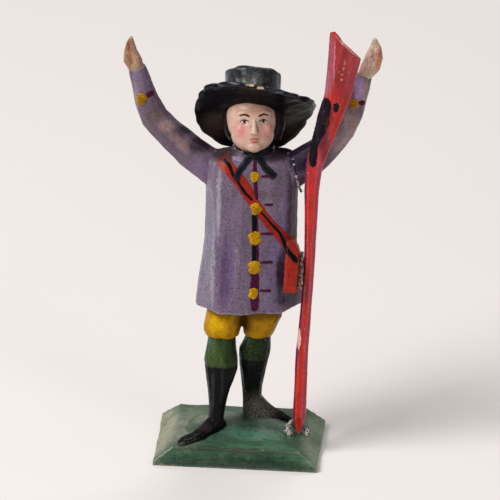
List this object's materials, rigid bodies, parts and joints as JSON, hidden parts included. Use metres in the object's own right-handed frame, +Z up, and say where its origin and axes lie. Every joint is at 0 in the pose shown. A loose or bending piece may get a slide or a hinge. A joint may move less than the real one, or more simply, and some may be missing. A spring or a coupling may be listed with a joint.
{
  "type": "painted wooden figure",
  "caption": "Carved and painted wooden man in a long coat and wide hat, both arms raised, a long gun stood on its muzzle beside him, on a bevelled base.",
  "frame": {"origin": "centre of the base block's underside, on the table", "axes": "+Z up; -Y is the front, where the figure looks; +X towards the figure's own left, the gun's side"},
  "size_m": [0.0551, 0.0266, 0.0972],
  "materials": {
    "green_paint": "semi-gloss brushed oil paint over carved wood",
    "green_putty": "brushed oil paint over smeared putty",
    "boot_black": "black and green oil paint over carved wood",
    "breeches_yellow": "ochre oil paint over carved wood",
    "coat_purple": "satin purple-grey oil paint over carved wood",
    "flesh": "thin flesh-coloured paint over carved wood",
    "hat_black": "glossy black paint, scuffed, over carved wood",
    "gun_red": "glossy red paint over carved wood",
    "pouch_red": "red paint over carved wood",
    "dried_glue": "dried brittle glue with dust",
    "bare_wood": "bare split softwood"
  },
  "bodies": {
    "root": {"base_block": "green_paint", "ground_putty": "green_putty", "right_leg": "boot_black", "left_leg": "boot_black", "breeches": "breeches_yellow", "coat": "coat_purple", "head": "flesh", "hat_brim": "hat_black", "hat_crown": "hat_black", "right_sleeve": "coat_purple", "left_sleeve": "coat_purple", "right_hand": "flesh", "left_hand": "flesh", "gun": "gun_red", "pouch": "pouch_red", "shoulder_glue": "dried_glue", "muzzle_glue": "dried_glue", "pouch_glue": "dried_glue", "right_foot_peg": "bare_wood", "left_foot_peg": "bare_wood", "right_knee_peg": "bare_wood", "left_knee_peg": "bare_wood", "coat_peg": "bare_wood", "neck_peg": "bare_wood", "right_shoulder_peg": "bare_wood", "left_shoulder_peg": "bare_wood"}
  },
  "joints": []
}
